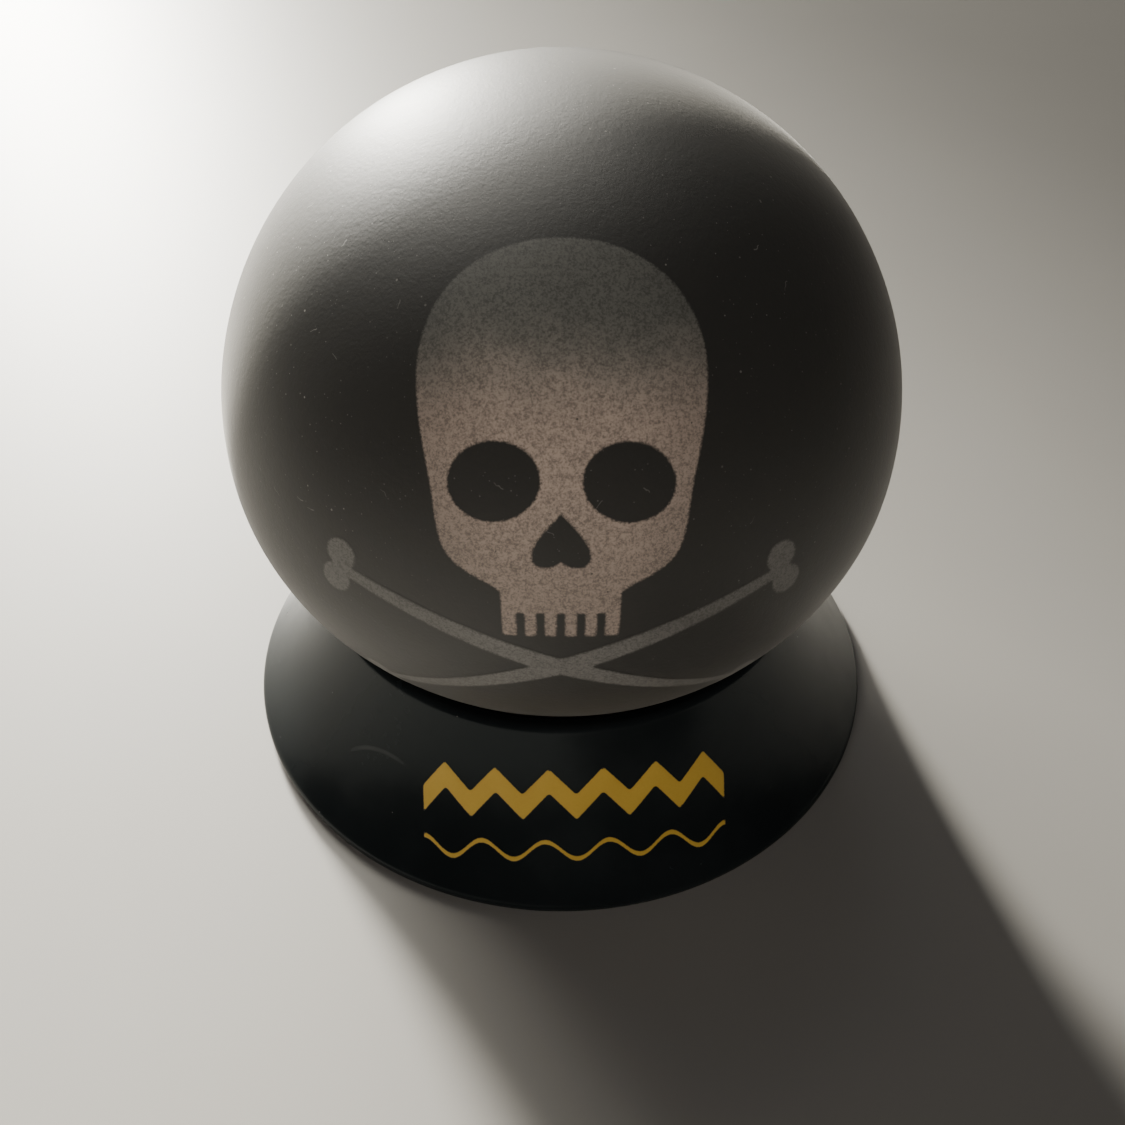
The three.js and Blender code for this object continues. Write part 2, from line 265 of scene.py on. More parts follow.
def shell_outline():
    """From the axis under the cup, down inside the skirt, up outside, over the lip, into the cup."""
    lip_centre = flare_outline(FLARE_TOP_FACES, -LIP_ROUNDING)
    foot_centre = flare_outline(FLARE_FOOT_FACES, -FOOT_ROUNDING)
    wall = inside_wall(WALL, SEAT_GAP + WALL)
    down = -math.pi / 2
    cup_edge = math.asin((LIP_HEIGHT - WIDEST) / (BALL_DROP + SEAT_GAP))
    under_end = ball_angle(wall[0].x, SEAT_GAP + WALL)
    return eased(
        [
            Vector((0, WIDEST - BALL_DROP - SEAT_GAP - WALL)),
            *sweep(down, under_end, 40, lambda a: ball_outline(a, SEAT_GAP + WALL))[1:],
            *wall,
            Vector((FOOT_RING_INNER_RADIUS, wall[-1].y - 0.5)),
            Vector((FOOT_RING_INNER_RADIUS, 0)),
            *arc(foot_centre, FOOT_ROUNDING, down, FLARE_FOOT_FACES, 12),
            *sweep(FLARE_FOOT_FACES, FLARE_TOP_FACES, 60, flare_outline)[1:],
            *arc(lip_centre, LIP_ROUNDING, FLARE_TOP_FACES, math.pi / 2, 10)[1:],
            *sweep(cup_edge, down, 60, lambda a: ball_outline(a, SEAT_GAP)),
        ],
        MOULD_CORNER,
    )


def hollow_outline():
    """The room under the cup, a little larger than it is, for cutting the ribs to length."""
    wall = inside_wall(WALL - ROOT, SEAT_GAP + WALL - ROOT)
    under_end = ball_angle(wall[0].x, SEAT_GAP + WALL - ROOT)
    under = sweep(-math.pi / 2, under_end, 40, lambda a: ball_outline(a, SEAT_GAP + WALL - ROOT))
    under[0].x = 0
    return [*under, *wall, Vector((wall[-1].x, -1)), Vector((0, -1))]


def hub_outline():
    """The short tube under the middle of the cup, as a closed outline."""
    top = LIP_HEIGHT - RIB_ABOVE_TABLE
    ends = [(HUB_BORE_RADIUS, top), (HUB_BORE_RADIUS, RIB_ABOVE_TABLE)]
    ends += [(HUB_RADIUS, RIB_ABOVE_TABLE), (HUB_RADIUS, top)]
    corners = [Vector(end) for end in ends]
    return eased(corners, HUB_CORNER)


ribs = combined(turned("tube", hub_outline(), 96, closed=True), rib_plates(), "UNION")
ribs = combined(ribs, turned("room", hollow_outline(), STAND_SEGMENTS), "INTERSECT")
shell = shell_outline()
shell[-1].x = 0
stand = combined(turned("stand_moulding", shell, STAND_SEGMENTS), ribs, "UNION")


class Wire:
    """The output of a shader node. A sum written with wires adds the Math nodes that work it out."""

    def __init__(self, finish, socket):
        self.finish = finish
        self.socket = socket

    def sum(self, operation, *values):
        return self.finish.node("ShaderNodeMath", {"operation": operation}, dict(enumerate(values)))

    def __add__(self, other):
        return self.sum("ADD", self, other)

    def __sub__(self, other):
        return self.sum("SUBTRACT", self, other)

    def __rsub__(self, other):
        return self.sum("SUBTRACT", other, self)

    def __mul__(self, other):
        return self.sum("MULTIPLY", self, other)

    def __truediv__(self, other):
        return self.sum("DIVIDE", self, other)

    def __gt__(self, other):
        return self.sum("GREATER_THAN", self, other)

    def __abs__(self):
        return self.sum("ABSOLUTE", self)

    __radd__ = __add__
    __rmul__ = __mul__


class Finish:
    """A material being wired up. Its uniform values are set on the shader itself."""

    def __init__(self, name, **uniform):
        self.material = bpy.data.materials.new(name)
        self.material.use_nodes = True
        self.tree = self.material.node_tree
        self.shader = self.tree.nodes["Principled BSDF"]
        for socket, value in uniform.items():
            self.shader.inputs[socket.replace("_", " ")].default_value = value

    def node(self, kind, settings=None, sockets=None, output=0):
        """Adds a node: first its settings, then the values or wires of its sockets."""
        made = self.tree.nodes.new(kind)
        for name, value in (settings or {}).items():
            setattr(made, name, value)
        for name, value in (sockets or {}).items():
            self.join(value, made.inputs[name])
        return Wire(self, made.outputs[output])

    def join(self, value, socket):
        if isinstance(value, Wire):
            self.tree.links.new(value.socket, socket)
        else:
            socket.default_value = value

    def feed(self, **wires):
        for socket, wire in wires.items():
            self.join(wire, self.shader.inputs[socket.replace("_", " ")])

    def place(self):
        """Where a point of the piece is, in millimetres."""
        place = self.node("ShaderNodeTexCoord", output="Object")
        return self.vector("SCALE", place, Scale=1 / MM)

    def axis(self, vector, letter):
        return self.node("ShaderNodeSeparateXYZ", {}, {0: vector}, letter)

    def kept(self, name):
        """A number that each point of the mesh keeps."""
        settings = {"attribute_name": name, "attribute_type": "GEOMETRY"}
        return self.node("ShaderNodeAttribute", settings, output="Fac")

    def vector(self, operation, first, second=None, output=0, **sockets):
        values = {0: first, **({} if second is None else {1: second}), **sockets}
        return self.node("ShaderNodeVectorMath", {"operation": operation}, values, output)

    def mottle(self, place, width, detail=2.0, roughness=0.55):
        """Soft random patches of about one width, from 0 to 1."""
        sockets = {"Vector": place, "Scale": 1 / width, "Detail": detail, "Roughness": roughness}
        return self.node("ShaderNodeTexNoise", {}, sockets)

    def ramp(self, value, low, high, at_low=0.0, at_high=1.0):
        """A smooth step of a value, from one number to another."""
        sockets = {0: value, 1: low, 2: high, 3: at_low, 4: at_high}
        return self.node("ShaderNodeMapRange", {"interpolation_type": "SMOOTHSTEP"}, sockets)

    def blend(self, share, first, second):
        """Two colours mixed."""
        return self.node("ShaderNodeMix", {"data_type": "RGBA"}, {0: share, 6: first, 7: second}, 2)

    def bump(self, height, depth, strength=1.0, under=None):
        """Relief from a height of 0 to 1 that stands for a depth in millimetres."""
        sockets = {"Height": height, "Strength": strength, "Distance": depth * MM}
        if under is not None:
            sockets["Normal"] = under
        return self.node("ShaderNodeBump", {}, sockets)

    def cells(self, place, width):
        """How far a point is from the middle of the nearest foam cell, from 0."""
        cell = {"Vector": place, "Scale": 1 / width}
        return self.node("ShaderNodeTexVoronoi", {}, cell, "Distance")

    def specks(self, place, spacing, size, share):
        """Small round grains, of which only a share of the places has one, from 0 to 1."""
        cell = {"Vector": place, "Scale": 1 / spacing, "Randomness": 1.0}
        near = self.node("ShaderNodeTexVoronoi", {}, cell, "Distance")
        chance = self.node("ShaderNodeTexVoronoi", {}, cell, "Color")
        pick = self.node("ShaderNodeSeparateColor", {}, {0: chance}, "Red")
        spread = self.node("ShaderNodeSeparateColor", {}, {0: chance}, "Green")
        reach = (spread * 0.7 + 0.5) * (size / 2 / spacing)
        return self.ramp(near / reach, 0.6, 1.1, 1.0, 0.0) * (pick > 1 - share)

    def lint(self, place, spacing, length, width, share):
        """Short curled fibres that lie along the surface, from 0 to 1."""
        curl = self.node("ShaderNodeTexNoise", {}, {"Vector": place, "Scale": 0.9}, "Color")
        curl = self.vector("SCALE", self.vector("SUBTRACT", curl, (0.5, 0.5, 0.5)), Scale=1.1)
        curled = self.vector("ADD", place, curl)
        cell = {"Vector": curled, "Scale": 1 / spacing, "Randomness": 0.8}
        middle = self.node("ShaderNodeTexVoronoi", {}, cell, "Position")
        chance = self.node("ShaderNodeTexVoronoi", {}, cell, "Color")
        pick = self.node("ShaderNodeSeparateColor", {}, {0: chance}, "Red")
        facing = self.node("ShaderNodeNewGeometry", output="Normal")
        offset = self.along_surface(self.vector("SUBTRACT", curled, middle), facing)
        lie = self.along_surface(self.vector("SUBTRACT", chance, (0.5, 0.5, 0.5)), facing)
        lie = self.vector("NORMALIZE", lie)
        along = self.vector("DOT_PRODUCT", offset, lie, "Value")
        held = self.node("ShaderNodeClamp", {}, {0: along, 1: -length / 2, 2: length / 2})
        nearest = self.vector("SCALE", lie, Scale=held)
        aside = self.vector("LENGTH", self.vector("SUBTRACT", offset, nearest), output="Value")
        return self.ramp(aside, width * 0.3, width * 0.7, 1.0, 0.0) * (pick > 1 - share)

    def along_surface(self, direction, facing):
        """The part of a direction that lies in the surface."""
        depth = self.vector("DOT_PRODUCT", direction, facing, "Value")
        return self.vector("SUBTRACT", direction, self.vector("SCALE", facing, Scale=depth))


def black_plastic():
    """Semi-gloss black, with handling haze, hairline scuffs and a little settled dust."""
    finish = Finish("black_plastic", IOR=1.29, Specular_Tint=(0.84, 0.96, 1.0, 1))
    place = finish.place()
    haze = finish.mottle(place, 14, 4)
    handled = finish.ramp(haze, 0.42, 0.68)
    flow = finish.mottle(place, 1.3, 3)
    stretched = finish.vector("MULTIPLY", place, (1.0, 1.0, 9.0))
    hairlines = finish.ramp(finish.mottle(stretched, 1.6, 5, 0.7), 0.66, 0.72)
    scuff_side = finish.vector("DISTANCE", place, SCUFF_CENTRE, "Value")
    scuff_line = finish.ramp(abs(scuff_side - SCUFF_RADIUS), 0.05, 0.3, 1.0, 0.0)
    scuff_reach = finish.vector("DISTANCE", place, SCUFF_MIDDLE, "Value")
    scuff = scuff_line * finish.ramp(scuff_reach, 2.2, 5.2, 1.0, 0.0)
    facing = finish.node("ShaderNodeNewGeometry", output="Normal")
    faces_up = finish.ramp(finish.axis(facing, "Z"), 0.1, 0.8)
    dust = finish.specks(place, 1.5, 0.16, 0.16) * faces_up
    black = finish.blend(haze, PLASTIC, CLOUDED_PLASTIC)
    dulled = finish.blend(handled * 0.35, black, HANDLED_PLASTIC)
    scuffed = finish.blend(scuff * 0.25 + hairlines * 0.05, dulled, SCRAPED_PLASTIC)
    dusty = finish.blend(dust * 0.6, scuffed, DUST_ON_PLASTIC)
    gloss = 0.17 + handled * 0.08 + flow * 0.04 + scuff * 0.15 + dust * 0.3
    relief = finish.bump(flow, 0.004, 0.6)
    relief = finish.bump(hairlines + scuff, 0.003, 0.5, relief)
    finish.feed(Base_Color=dusty, Roughness=gloss, Normal=relief)
    return finish.material


stand.data.materials.append(black_plastic())
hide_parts("stand_shell")
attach(stand, "stand")

# ---------------------------------------------------------------- print on the stand
# Two rows pad-printed in one yellow ink on the front of the flare: a bold zigzag for tension over
# a thin wave for calm. The ink is a raised film of a few hundredths of a millimetre.

LABEL_TURN = math.radians(3.2)  # that the stand is turned under the ball
LABEL_DROOP_RADIUS = 66  # the rows sag towards their ends, as on an unrolled cone
LABEL_WIDTH = 34
INK_THICKNESS = 0.03
INK_FEATHER = 0.12  # how far in from its outline the ink reaches its full thickness
INK_STEP = 0.4
WAVE_STEP = 0.2
FILM_LIFT = 0.008  # of every film's underside from what it is laid on
INSIDE_WITHOUT_OPENINGS = 2  # the triangulation's way of leaving out the openings

BAND_MIDDLE = -7.1  # below the flare's top edge
BAND_HEIGHT = 6.1
BAND_THICKNESS = 3  # measured straight down
BAND_PEAKS = 6
BAND_CORNER = 0.35

WAVE_MIDDLE = -13.5
WAVE_HEIGHT = 2.5
WAVE_THICKNESS = 0.6
WAVE_PERIODS = 5

YELLOW = (0.54, 0.340, 0.046, 1)
PALE_YELLOW = (0.67, 0.440, 0.072, 1)
DEEP_YELLOW = (0.43, 0.255, 0.029, 1)
BARE_UNDER_INK = (0.012, 0.012, 0.011, 1)


def label_on_flare(across, up, proud):
    """Lays a point of the flat artwork, measured down from the lip, on the flare."""
    along = -up + across ** 2 / (2 * LABEL_DROOP_RADIUS)
    radius, height = flare_outline(FLARE_TOP_FACES + along / flare_bend, proud)
    turn = across / radius + LABEL_TURN
    return Vector((radius * math.sin(turn), -radius * math.cos(turn), height))


def divided(outline, step):
    """A closed outline with its long sides divided into steps."""
    points = []
    for start, end in zip(outline, outline[1:] + outline[:1]):
        count = max(1, math.ceil((end - start).length / step))
        points += [start.lerp(end, i / count) for i in range(count)]
    return points


def edge_distance(points, outlines):
    """How far each point is from the nearest side of the outlines."""
    spots = np.array(points)
    nearest = np.full(len(spots), np.inf)
    for outline in outlines:
        starts = np.array(outline)
        sides = np.roll(starts, -1, axis=0) - starts
        for start, side in zip(starts, sides):
            offset = spots - start
            share = np.clip(offset @ side / max(side @ side, 1e-12), 0, 1)
            gap = np.linalg.norm(offset - share[:, None] * side, axis=1)
            nearest = np.minimum(nearest, gap)
    return nearest.tolist()


def film(name, outlines, lay, thickness, feather, step):
    """A thin closed film with the flat outlines' shape, laid on a surface. It thins to its edge.
    The first outline is the outside and the others are openings. Each point keeps how far it is
    from an edge and its height in the artwork, for the material."""
    outlines = [divided(outline, step / 2) for outline in outlines]
    outside = np.array(outlines[0])
    low, high = outside.min(axis=0), outside.max(axis=0)
    row_step = step * math.sqrt(3) / 2
    grid = [
        (low[0] + step * (i + 0.5 * (j % 2)), low[1] + row_step * j)
        for j in range(math.ceil((high[1] - low[1]) / row_step) + 1)
        for i in range(math.ceil((high[0] - low[0]) / step) + 1)
    ]
    apart = edge_distance(grid, outlines)
    inner = [Vector(spot) for spot, gap in zip(grid, apart) if gap > step * 0.4]
    points = [point for outline in outlines for point in outline] + inner
    rings = []
    for outline in outlines:
        first = sum(map(len, rings))
        rings.append([first + i for i in range(len(outline))])
    flat, _, triangles, _, _, _ = delaunay_2d_cdt(points, [], rings, INSIDE_WITHOUT_OPENINGS, 1e-6)
    gaps = edge_distance(flat, outlines)
    vertices = []
    for point, gap in zip(flat, gaps):
        rise = min(1, gap / feather)
        vertices.append(lay(point.x, point.y, FILM_LIFT + thickness * (0.2 + 0.8 * rise)))
    for point in flat:
        vertices.append(lay(point.x, point.y, FILM_LIFT))
    count = len(flat)
    directed = {(t[i], t[(i + 1) % 3]) for t in triangles for i in range(3)}
    rim = [side for side in directed if side[::-1] not in directed]
    faces = [list(t) for t in triangles]
    faces += [[count + i for i in reversed(t)] for t in triangles]
    faces += [[b, a, count + a, count + b] for a, b in sorted(rim)]
    piece = make_piece(name, vertices, faces)
    mesh = piece.data
    for label, values in (("from_edge", gaps), ("up", [point.y for point in flat])):
        kept = mesh.attributes.new(label, "FLOAT", "POINT")
        kept.data.foreach_set("value", np.tile(values, 2))
    return piece


def zigzag_outline():
    swing = (BAND_HEIGHT - BAND_THICKNESS) / 2
    corners = 2 * BAND_PEAKS
    line = [
        Vector(((i / corners - 0.5) * LABEL_WIDTH, BAND_MIDDLE + (swing if i % 2 else -swing)))
        for i in range(corners + 1)
    ]
    half = Vector((0, BAND_THICKNESS / 2))
    lower = [point - half for point in line]
    upper = [point + half for point in line]
    return eased([line[0], *lower, *upper[::-1], line[0]], BAND_CORNER)[:-1]


def wave_outline():
    swing = (WAVE_HEIGHT - WAVE_THICKNESS) / 2
    steps = 40 * WAVE_PERIODS
    line = [
        Vector((
            (i / steps - 0.5) * LABEL_WIDTH,
            WAVE_MIDDLE + swing * math.cos(2 * math.pi * WAVE_PERIODS * i / steps),
        ))
        for i in range(steps + 1)
    ]
    half = Vector((0, WAVE_THICKNESS / 2))
    return [point - half for point in line] + [point + half for point in line][::-1]


def yellow_ink():
    """Opaque warm yellow, a little thin and ragged at its edges, with pinholes."""
    finish = Finish("yellow_ink", IOR=1.48)
    place = finish.place()
    from_edge = finish.kept("from_edge")
    drift = finish.mottle(place, 5, 3)
    grain = finish.mottle(place, 0.25, 2)
    yellow = finish.blend(drift, YELLOW, PALE_YELLOW)
    grainy = finish.blend(grain * 0.30, yellow, DEEP_YELLOW)
    ragged = finish.ramp(from_edge + (grain - 0.5) * 0.10, 0.02, 0.10)
    pinholes = finish.specks(place, 1.1, 0.12, 0.10)
    cover = ragged * (1 - pinholes * 0.8)
    finish.feed(
        Base_Color=finish.blend(cover, BARE_UNDER_INK, grainy),
        Roughness=0.40 + drift * 0.12 + grain * 0.06,
        Normal=finish.bump(grain, 0.012, 0.5),
    )
    return finish.material


ink = yellow_ink()
zigzag = film("zigzag_ink", [zigzag_outline()], label_on_flare, INK_THICKNESS, INK_FEATHER, INK_STEP)
wave = film("wave_ink", [wave_outline()], label_on_flare, INK_THICKNESS, INK_FEATHER, WAVE_STEP)
for printed, node in ((zigzag, "label_zigzag"), (wave, "label_wave")):
    printed.data.materials.append(ink)
    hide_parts(node)
    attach(printed, "stand")

# ---------------------------------------------------------------- foam body
# The ball is soft polyurethane foam, poured into a closed mould. Its stub fills the pour hole in
# the skin and is trimmed level with it, so its cells show there.

SKIN = 1.2  # the dense skin that the foam forms against its mould
FOAM_GAP = 0.3
POUR_HOLE_RADIUS = 3
FOAM_SEGMENTS = 128
CELL_DEPTH = 0.14
CELL_WIDTH = 0.8
FOAM_WALL = (0.045, 0.043, 0.040, 1)
FOAM_WALL_PALE = (0.070, 0.067, 0.061, 1)
# painted shade: the colour of the hollows of the open cells, darker than the walls
FOAM_CELL_SHADE = (0.016, 0.015, 0.014, 1)


def foam_outline():
    """From the middle of the trimmed stub, out to its edge, and round the ball to the top."""
    inset = -(SKIN + FOAM_GAP)
    stub = POUR_HOLE_RADIUS - FOAM_GAP
    bottom = WIDEST - BALL_DROP
    stub_face = [Vector((stub * i / 12, bottom)) for i in range(13)]
    stub_side = [Vector((stub, bottom + share)) for share in (0.3, 0.6, 0.9, 1.2)]
    body = sweep(ball_angle(stub, inset), math.pi / 2, 72, lambda a: ball_outline(a, inset))
    body[-1].x = 0
    return stub_face + stub_side + body


def open_cells(piece, depth, width):
    """Pushes a surface in where its foam cells are cut open."""
    for vertex, normal in zip(piece.data.vertices, [v.normal.copy() for v in piece.data.vertices]):
        cell = noise.voronoi(vertex.co / MM / width)[0][0]
        vertex.co -= normal * depth * MM * (1 - min(1, cell * 1.6))


def foam_finish():
    """Dark grey foam with round open cells of several sizes, whose hollows are painted darker as shade."""
    finish = Finish("cellular_foam", IOR=1.45, Sheen_Weight=0.15, Sheen_Roughness=0.6)
    place = finish.place()
    coarse = finish.cells(place, 0.7)
    fine = finish.cells(place, 0.3)
    open_cell = finish.ramp(coarse * 0.6 + fine * 0.4, 0.25, 0.65)
    drift = finish.mottle(place, 4, 3)
    wall = finish.blend(drift, FOAM_WALL, FOAM_WALL_PALE)
    # the middles of the open cells get the painted shade colour
    finish.feed(
        Base_Color=finish.blend(open_cell, FOAM_CELL_SHADE, wall),
        Roughness=0.95 - open_cell * 0.1,
        Normal=finish.bump(open_cell, 0.12, 0.8),
    )
    return finish.material


def ball_piece(piece, node, material):
    """What every soft piece of the ball has in common: it lifts with the ball and flattens."""
    piece.data.materials.append(material)
    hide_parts(node)
    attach(piece, "ball")
    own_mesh(piece)


foam = turned("foam_body", foam_outline(), FOAM_SEGMENTS)
open_cells(foam, CELL_DEPTH, CELL_WIDTH)
ball_piece(foam, "foam_core", foam_finish())

# ---------------------------------------------------------------- ball skin
# The foam's own dense outer skin, coated matt black with a soft-touch lacquer. It is whole all
# round but for the pour hole at the bottom, and carries dust and lint where it faces up.

SKIN_SEGMENTS = 288
SKIN_RINGS = 150
UNEVEN = 0.035  # how far the soft skin strays from true
UNEVEN_WIDTH = 11
RIM_ROUNDING = 0.3
LACQUER = (0.025, 0.0245, 0.0225, 1)
CLOUDED_LACQUER = (0.034, 0.0330, 0.0305, 1)
WORN_GRAIN = (0.048, 0.0465, 0.0430, 1)
HOUSE_DUST = (0.46, 0.44, 0.41, 1)
SHEEN_COLOUR = (1.0, 0.97, 0.9, 1)


def strayed(point):
    """A point of the ball, moved as the soft skin's unevenness moves it there."""
    middle = Vector((0, 0, WIDEST))
    out = (point - middle).normalized()
    return point + out * UNEVEN * noise.noise(point / UNEVEN_WIDTH)


def skin_outline():
    """From the top down the outside to the pour hole's rounded rim, and back up the inside."""
    hole = ball_angle(POUR_HOLE_RADIUS)
    inner_hole = ball_angle(POUR_HOLE_RADIUS, -SKIN)
    outside = sweep(math.pi / 2, hole, SKIN_RINGS, ball_outline)
    inside = sweep(inner_hole, math.pi / 2, SKIN_RINGS // 2, lambda a: ball_outline(a, -SKIN))
    outside[0].x = 0
    inside[-1].x = 0
    return eased(outside + inside, RIM_ROUNDING)


skin = turned("soft_skin_shell", skin_outline(), SKIN_SEGMENTS)
for vertex in skin.data.vertices:
    vertex.co = strayed(vertex.co / MM) * MM


def soft_touch_skin():
    """Matt soft-touch black: a fine even grain, slight clouding, and dust and lint on top."""
    finish = Finish("soft_touch_skin", IOR=1.5, Sheen_Weight=0.2, Sheen_Roughness=0.4)
    finish.feed(Sheen_Tint=SHEEN_COLOUR)
    place = finish.place()
    clouding = finish.mottle(place, 12, 4)
    grain = finish.mottle(place, 0.30, 3, 0.65)
    coarse_grain = finish.mottle(place, 0.9, 2)
    settles = finish.ramp(finish.axis(place, "Z"), WIDEST - 12, WIDEST + 30, 0.12, 1.0)
    drifted = finish.ramp(finish.mottle(place, 16, 3), 0.35, 0.65, 0.35, 1.0)
    dusted = settles * drifted * finish.ramp(finish.axis(place, "X"), -35, 40, 1.0, 0.55)
    fine_dust = finish.specks(place, 0.50, 0.13, 0.50)
    grains = finish.specks(place, 1.2, 0.20, 0.34)
    fibres = finish.lint(place, 4.2, 0.7, 0.06, 0.16)
    loose = (fine_dust * 0.6 + grains * 0.9 + fibres * 0.6) * dusted
    black = finish.blend(clouding, LACQUER, CLOUDED_LACQUER)
    grainy = finish.blend(grain * 0.5, black, WORN_GRAIN)
    finish.feed(
        Base_Color=finish.blend(loose, grainy, HOUSE_DUST),
        Roughness=0.48 + clouding * 0.05 + grain * 0.05 + loose * 0.2,
        Normal=finish.bump(grain + coarse_grain * 0.9, 0.022, 0.8),
    )
    return finish.material


ball_piece(skin, "ball_skin", soft_touch_skin())

# ---------------------------------------------------------------- skull
# A plain skull airbrushed through a stencil on the front of the ball, in a pale warm grey that is
# thickest at the brow and cheeks and thins to a cool haze at the crown.

SKULL_RISE = math.radians(30)  # above level that the middle of the skull faces
PAINT_THICKNESS = 0.008
PAINT_FEATHER = 0.6
PAINT_STEP = 0.5
CROWN = 17  # the skull's top above its middle
CROWN_WIDTH = 24
CHEEK_WIDTH = 21
JAW_WIDTH = 10.6
TEETH = 6
TEETH_BOTTOM = -17.4
TEETH_HEIGHT = 2.6
TEETH_SLIT = 0.5
TEETH_ROUNDING = 0.4
WARM_GREY = (0.52, 0.415, 0.345, 1)
COOL_GREY = (0.35, 0.355, 0.318, 1)


def stencil_on_ball(across, up, proud):
    """Lays a point of flat artwork on the ball. It keeps its distance from the artwork's middle."""
    spread = math.hypot(across, up)
    turn = spread / BALL_RADIUS
    side = math.sin(turn) / spread if spread > 0 else 0
    facing = Vector((across * side, -math.cos(turn), up * side))
    facing.rotate(Matrix.Rotation(-SKULL_RISE, 3, "X"))
    upright = BALL_RADIUS if facing.z > 0 else BALL_DROP
    flattened = Vector((facing.x / BALL_RADIUS, facing.y / BALL_RADIUS, facing.z / upright))
    on_ball = facing / flattened.length + Vector((0, 0, WIDEST))
    return strayed(on_ball) + facing * proud


def curve(points, *corners, steps=14):
    """Carries an outline on along a Bezier curve with two control points and an end."""
    start = points[-1]
    first, second, end = (Vector(corner) for corner in corners)
    for i in range(1, steps + 1):
        s = i / steps
        r = 1 - s
        points.append(r ** 3 * start + 3 * r * r * s * first + 3 * r * s * s * second + s ** 3 * end)


def mirrored(points):
    """The same points on the other side of the middle line, in the other order."""
    return [Vector((-point.x, point.y)) for point in reversed(points)]


def right_side():
    """One side of the head, from the jaw up over the temple to the crown."""
    jaw, cheek, brow = JAW_WIDTH / 2, CHEEK_WIDTH / 2, CROWN_WIDTH / 2
    points = [Vector((jaw, -12.6))]
    curve(points, (jaw + 1.2, -11.4), (cheek - 1.2, -11), (cheek - 0.3, -8.4))
    curve(points, (cheek + 0.3, -6.4), (brow - 1.4, -5.2), (brow - 1, -2.6))
    curve(points, (brow - 0.7, -0.6), (brow, 2.4), (brow, 5.6))
    curve(points, (brow, 12.6), (7, CROWN), (0, CROWN), steps=28)
    return points


def teeth_row():
    """The teeth along the jaw's lower edge, from left to right, with a slit between each two."""
    pitch = JAW_WIDTH / TEETH
    top = TEETH_BOTTOM + TEETH_HEIGHT
    points = []
    for i in range(TEETH):
        left = -JAW_WIDTH / 2 + i * pitch + (TEETH_SLIT / 2 if i > 0 else 0)
        right = -JAW_WIDTH / 2 + (i + 1) * pitch - (TEETH_SLIT / 2 if i < TEETH - 1 else 0)
        corners = [(left, top), (left, TEETH_BOTTOM), (right, TEETH_BOTTOM), (right, top)]
        points += eased([Vector(corner) for corner in corners], TEETH_ROUNDING)
    return points


def eye_socket(side):
    tilt = Matrix.Rotation(side * math.radians(-12), 2)
    turns = [2 * math.pi * i / 72 for i in range(72)]
    middle = Vector((side * 5.5, -2.7))
    return [middle + tilt @ Vector((3.7 * math.cos(a), 3.2 * math.sin(a))) for a in turns]


def nose_opening():
    """An upside-down heart."""
    right = [Vector((0, -5.4))]
    curve(right, (1, -6.6), (2.5, -8), (2.3, -9.3))
    curve(right, (2.1, -10.2), (0.6, -10.1), (0, -9.3))
    return right + mirrored(right[1:-1])


def skull_outlines():
    right = right_side()
    outside = teeth_row() + right + mirrored(right[:-1])
    return [outside, eye_socket(-1), eye_socket(1), nose_opening()]


def sprayed(name, cover_low, cover_high, warm, cool, thin_above, full_below, softness):
    """Airbrushed paint: fine droplets, denser or thinner up the artwork, fading at the edges."""
    finish = Finish(name, IOR=1.5, Sheen_Weight=0.2, Sheen_Roughness=0.4)
    finish.feed(Sheen_Tint=SHEEN_COLOUR)
    place = finish.place()
    up = finish.kept("up")
    from_edge = finish.kept("from_edge")
    droplets = finish.mottle(place, 0.20, 3, 0.7)
    clumps = finish.mottle(place, 0.55, 2)
    cloud = finish.mottle(place, 6, 3)
    spray = finish.ramp(droplets * 0.7 + clumps * 0.3, 0.36, 0.60)
    thinned = finish.ramp(up + (cloud - 0.5) * 9, full_below, thin_above, cover_high, cover_low)
    edge = finish.ramp(from_edge + (droplets - 0.5) * 0.35, 0.0, softness)
    missed = finish.specks(place, 1.3, 0.22, 0.10)
    aside = abs(finish.axis(place, "X"))
    aimed = finish.ramp(up, -15, 0, 0.68, 1.0) * finish.ramp(aside, 4, 12, 1.0, 0.72)
    cover = thinned * aimed * edge * (0.42 + spray * 0.58) * (1 - missed * 0.85)
    height = finish.ramp(up + (cloud - 0.5) * 5, full_below, thin_above)
    paint = finish.blend(height, warm, cool)
    finish.feed(
        Base_Color=finish.blend(cover, CLOUDED_LACQUER, paint),
        Roughness=0.53 + cover * 0.15,
        Normal=finish.bump(droplets + clumps * 0.6, 0.02, 0.6),
    )
    return finish.material


paint_laid = (stencil_on_ball, PAINT_THICKNESS, PAINT_FEATHER, PAINT_STEP)
skull = film("skull_spray", skull_outlines(), *paint_laid)
bone_grey = sprayed(
    "bone_grey_spray", cover_low=0.44, cover_high=1.0, warm=WARM_GREY, cool=COOL_GREY,
    thin_above=12.0, full_below=1.0, softness=0.30,
)
ball_piece(skull, "skull_paint", bone_grey)

# ---------------------------------------------------------------- crossed bones
# Two crossed bones under the jaw, airbrushed through a second stencil with less paint, so that
# they stay dim. They run down towards the stand on both sides.

BONES_MIDDLE = -21.4  # below the middle of the skull
BONE_LENGTH = 23  # from the crossing to the middle of a bone's end
BONE_HALF_WIDTH = 1.25
BONE_TILT = math.radians(23)
KNOB_RADIUS = 1.8
KNOB_OFFSET = 1.55  # of each of an end's two knobs, to its side of the bone's middle line
KNOB_FROM = math.radians(205)
KNOB_TO = math.radians(-59)
FAINT_GREY = (0.56, 0.54, 0.50, 1)


